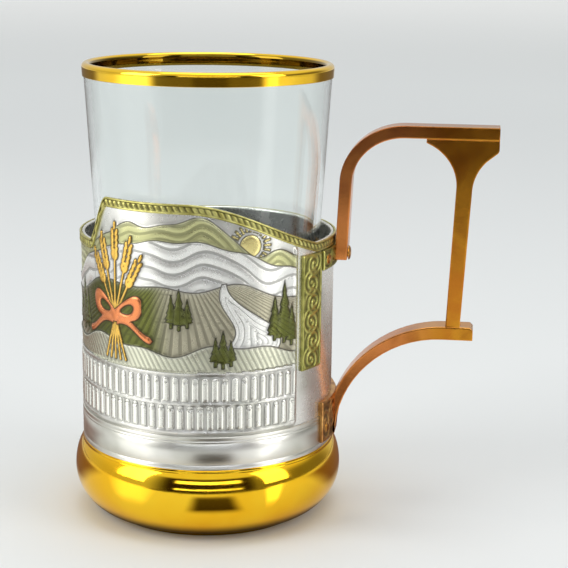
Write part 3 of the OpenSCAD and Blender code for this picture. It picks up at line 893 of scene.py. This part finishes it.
def scroll(u, v, length):
    """Height of a wave of scrolls from 0 to 1, with u across from -1 to 1 and v along from 0 to 1."""
    best = np.zeros_like(u)
    count = max(2, round(length / 5.2))
    for i in range(count):
        middle = (i + 0.5) / count
        side = 1 if i % 2 else -1
        du, dv = u - side * 0.12, (v - middle) * count * 2
        turn, reach = np.arctan2(dv, du * side), np.hypot(du, dv * 0.62)
        curl = np.abs((reach * 2.6 - turn / (2 * np.pi)) % 1 - 0.5) * 2
        best = np.maximum(best, soft(1.02 - reach, 0, 0.25) * soft(curl, 0.35, 0.75))
    rim = soft(np.abs(u), 0.84, 0.94)
    return np.maximum(best, rim)


def plate_outline(inner, face, low, high, steps):
    """Section of a curved plate, with a face fine enough to carry scrolls."""
    return ([(inner, low), (face, low)] + line((face, low + 0.2), (face, high - 0.2), steps)
            + [(face, high), (inner, high)])


def make_plate(name, node, outline, face, low, high, start, sweep, columns, lying=False,
               tones=OLIVE_TONES):
    """A curved plate with a wave of scrolls on its face, upright or lying."""
    made = piece(name, turned(outline, columns, start=start, sweep=sweep), "holder", node,
                 gilt_relief("gilt_" + name, *tones))
    r, az, z = polar(points(made))
    u = apart(az, start + sweep / 2) / (sweep / 2 * DEGREE)
    v = (z - low) / (high - low)
    on_face = (r > face - 0.02) & (np.abs(u) < 0.99) & (v > 0.01) & (v < 0.99)
    if lying:
        height = scroll(v * 2 - 1, u * 0.5 + 0.5, sweep * DEGREE)
        ends = soft(np.abs(u), 0.93, 0.97)
    else:
        height = scroll(u, v, high - low)
        ends = soft(np.abs(v * 2 - 1), 0.94, 0.98)
    height = np.maximum(height, ends) * on_face
    place(made, r + SCROLL_LIFT * height, az, z)
    store(made, "hollow", (1 - height) * on_face * 0.9)


def make_plates():
    """Both pilasters and both pads. The lower pad is stepped over the collar's edge."""
    face = TRIM_IN_R + PILASTER_SHEET
    upright = plate_outline(TRIM_IN_R, face, PILASTER_LOW, PLATE_TOP, 120)
    for side, start in (("near", -35.5), ("far", 22)):
        make_plate("pilaster_" + side + "_scroll", "pilaster_" + side, upright, face,
                   PILASTER_LOW, PLATE_TOP, start, PILASTER_SWEEP, 44)
    face = TRIM_IN_R + UPPER_PAD_SHEET
    make_plate("upper_pad_scroll", "upper_pad",
               plate_outline(TRIM_IN_R, face, UPPER_PAD_LOW, PLATE_TOP, 26), face,
               UPPER_PAD_LOW, PLATE_TOP, -PAD_SWEEP / 2, PAD_SWEEP, 110, lying=True)
    step, step_z = TRIM_OUT_R + SOLDER, COLLAR_TOP + SOLDER
    face = step + LOWER_PAD_SHEET
    stepped = plate_outline(step, face, LOWER_PAD_LOW, LOWER_PAD_TOP, 40)[:-1]
    stepped += [(TRIM_IN_R, LOWER_PAD_TOP), (TRIM_IN_R, step_z), (step, step_z)]
    make_plate("lower_pad_scroll", "lower_pad", stepped, face, LOWER_PAD_LOW, LOWER_PAD_TOP,
               -PAD_SWEEP / 2, PAD_SWEEP, 110, lying=True, tones=BROWN_TONES)


def make_rivets():
    """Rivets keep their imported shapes, each joined into a closed mesh."""
    gold = polished_gold("gold_rivets", rgb(206, 150, 70), rgb(160, 104, 44), 0.2)
    for node, slot in (("hoop_rivet", "handle_gold"), ("upper_pad_rivets", "gilt"),
                       ("lower_pad_rivets", "gilt")):
        piece(node + "_domed", copied(node), "holder", node, gold, sharp=30)


def dress_fasteners():
    """Screw, washer and nut, which nobody sees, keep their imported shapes."""
    steel = brushed_steel("steel_fasteners")
    for name in ("centre_screw", "centre_washer", "centre_nut"):
        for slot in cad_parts[name].material_slots:
            slot.material = steel.material


# The studio: floor, world, lamps and camera

def along(x, y, way):
    """How far (x, y) lies in the direction of an azimuth."""
    turn = math.radians(way)
    return x * math.cos(turn) + y * math.sin(turn)


def table_paper():
    """Pale paper, with painted reflections that only metal mirrors: the dark and bright sides of a
    room.
    """
    paper = Finish("table_paper", roughness=0.7)
    x, y, _ = paper.split(paper.object_place())
    reach = paper.hypot(x, y)
    glossy, seen, through = paper.ray("Glossy"), paper.ray("Camera"), paper.ray("Transmission")

    def wedge(way, half, edge, start=(0, 0)):
        """1 on the floor within half degrees of a direction, seen from a point beside the foot."""
        dx, dy = x - start[0] * MM, y - start[1] * MM
        facing = along(dx, dy, way) / paper.hypot(dx, dy)
        least, full = math.cos(math.radians(half + edge)), math.cos(math.radians(half - edge / 3))
        return paper.rise(facing, least, full)

    # Painted reflections, which only mirror rays see: a dark patch close before the foot, dark floor at
    # its sides, a doorway's dark further ahead, a dark wall behind, a painted shadow under the foot,
    # and two glowing windows
    painted_dark_patch = wedge(-76.5, 11, 7) * paper.band(reach, 0.045, 0.055, 0.1, 0.2)
    near = paper.band(reach, 0.035, 0.06, 0.15, 0.4)
    sides = 0.92 * near * paper.most(wedge(148, 26, 16), wedge(46, 32, 16))
    painted_dark_ahead = 0.91 * wedge(-80, 48, 10) + 0.09 * wedge(-78, 13, 6)
    ahead = paper.most(painted_dark_patch, painted_dark_ahead * paper.rise(reach, 0.4, 0.46))
    behind = 0.85 * paper.band(reach, 0.5, 0.6, 1.6, 2.4)
    behind = behind * paper.most(wedge(137, 19, 12), wedge(58, 20, 14))
    # Painted shadow under the foot, which only reflections show
    under = 1 - paper.rise(reach, 0.031, 0.0365)
    shade = paper.most(paper.most(ahead, sides), paper.most(behind, 0.85 * under))
    # Painted highlights: two window patches on the floor glow for mirror rays
    painted_windows = paper.most(wedge(-23, 6, 5, (22, -30)), 0.5 * wedge(-148, 14, 14, (-15, -34)))
    bright = painted_windows * paper.rise(reach, 0.045, 0.075) * (1 - shade)

    mirrored = glossy * (1 - through)
    pale = paper.mix(paper.noise(1.2, 2.0), rgb(224, 226, 225), rgb(230, 232, 231))
    darkest = paper.most(paper.most(ahead, under), 0.7 * behind)
    dark = paper.mix(darkest, rgb(104, 57, 24), rgb(46, 36, 20))
    # Painted reflections: only mirror rays see the dark parts
    paper.set("Base Color", paper.mix(shade * mirrored, pale, dark))
    open_view = paper.most(paper.most(seen, through), mirrored * (1 - shade))
    black, close, distant = (0, 0, 0, 1), (0.081, 0.085, 0.084, 1), (0.177, 0.176, 0.17, 1)
    glow = paper.mix(paper.rise(reach, 0.5, 3.6), close, distant)
    glow = paper.mix(paper.rise(reach, 0.1, 1.3) * open_view, black, glow)
    # Painted highlights: the window patches glow only for mirror rays
    paper.set("Emission Color", paper.mix(bright * mirrored, glow, (0.56, 0.56, 0.54, 1)))
    paper.set("Emission Strength", 2.0)
    paper.set("Specular IOR Level", 0.2)
    return paper


def make_floor_sheet():
    bm = bmesh.new()
    bmesh.ops.create_grid(bm, x_segments=2, y_segments=2, size=6.0)
    mesh = bpy.data.meshes.new("table")
    bm.to_mesh(mesh)
    bm.free()
    table = bpy.data.objects.new("table", mesh)
    bpy.context.scene.collection.objects.link(table)
    mesh.materials.append(table_paper().material)


def make_world():
    """A plain pale world, in which metal mirrors a darker room with two bright slats ahead."""
    world = bpy.data.worlds.new("studio")
    world.use_nodes = True
    bpy.context.scene.world = world
    world.node_tree.nodes.clear()
    sky = Sheet(world.node_tree)
    x, y, z = sky.split(sky.node("TexCoord", {}, {}, output="Generated"))
    seen, glossy, through = sky.ray("Camera"), sky.ray("Glossy"), sky.ray("Transmission")
    level = sky.hypot(x, y)
    ahead = along(x, y, FRONT) / level
    room = sky.rise(ahead, 0.55, 0.85) * (1 - sky.rise(z, 0.5, 0.62))
    corner = sky.rise(x / level, 0.45, 0.85) * (1 - sky.rise(z, 0.3, 0.6)) * 0.7
    walls = sky.mix(sky.rise(z, 0.1, 0.6), rgb(206, 208, 206), rgb(236, 238, 236))
    mirrored = sky.mix(sky.most(room, corner), walls, rgb(44, 34, 24))
    low_slat, high_slat = (0.068, 0.076, 0.112, 0.122), (0.3, 0.33, 0.43, 0.46)
    slats = sky.most(sky.band(z, *low_slat), sky.band(z, *high_slat)) * sky.rise(ahead, 0.86, 0.9)
    mirrored = sky.mix(slats, mirrored, (2.4, 2.5, 2.7, 1.0))
    backdrop = sky.mix(glossy * (1 - through), rgb(226, 228, 227), mirrored)
    plain = sky.most(sky.most(seen, glossy), through)
    colour = sky.mix(plain, rgb(186, 188, 190), backdrop)
    shader = sky.node("Background", {}, {"Color": colour, "Strength": 1.0})
    sky.node("OutputWorld", {}, {"Surface": shader})


def lamp(name, at, towards, size, power):
    """A lamp that the camera doesn't see, with its size in metres and its power in watts."""
    light = bpy.data.lights.new(name, "AREA")
    light.shape, light.size, light.size_y = "RECTANGLE", size[0], size[1]
    light.energy = power
    made = bpy.data.objects.new(name, light)
    made.location = at
    made.rotation_euler = (Vector(towards) - Vector(at)).to_track_quat("-Z", "Y").to_euler()
    made.visible_camera = False
    bpy.context.scene.collection.objects.link(made)


def make_lights():
    lamp("lamp_left", (-0.75, -0.45, 0.5), (0, 0, 0.06), (0.5, 0.7), 4.2)
    lamp("lamp_right", (0.8, -0.3, 0.45), (0, 0, 0.06), (0.4, 0.7), 2.6)
    lamp("lamp_top", (0.05, 0.1, 0.95), (0, 0, 0.05), (0.7, 0.6), 3.4)


def make_camera():
    """The photograph's camera, fitted to the outlines of lip, sleeve and foot."""
    place_m, pan, tilt, roll = (0.0708, -0.4038, 0.1586), 7, 76.89, 0.69
    data = bpy.data.cameras.new("camera")
    data.lens, data.sensor_width = 95.7, 36.0
    data.clip_start = 0.01
    made = bpy.data.objects.new("camera", data)
    turn = (Matrix.Rotation(math.radians(pan), 4, "Z") @ Matrix.Rotation(math.radians(tilt), 4, "X")
            @ Matrix.Rotation(math.radians(roll), 4, "Z"))
    made.matrix_world = Matrix.Translation(place_m) @ turn
    bpy.context.scene.collection.objects.link(made)
    bpy.context.scene.camera = made


make_camera()
make_sleeve()
make_border()
make_collar()
make_foot()
make_floor()
make_glass()
make_lip_band()
make_handle()
make_plates()
make_rivets()
dress_fasteners()
make_floor_sheet()
make_world()
make_lights()
bpy.context.scene.view_settings.view_transform = "Standard"
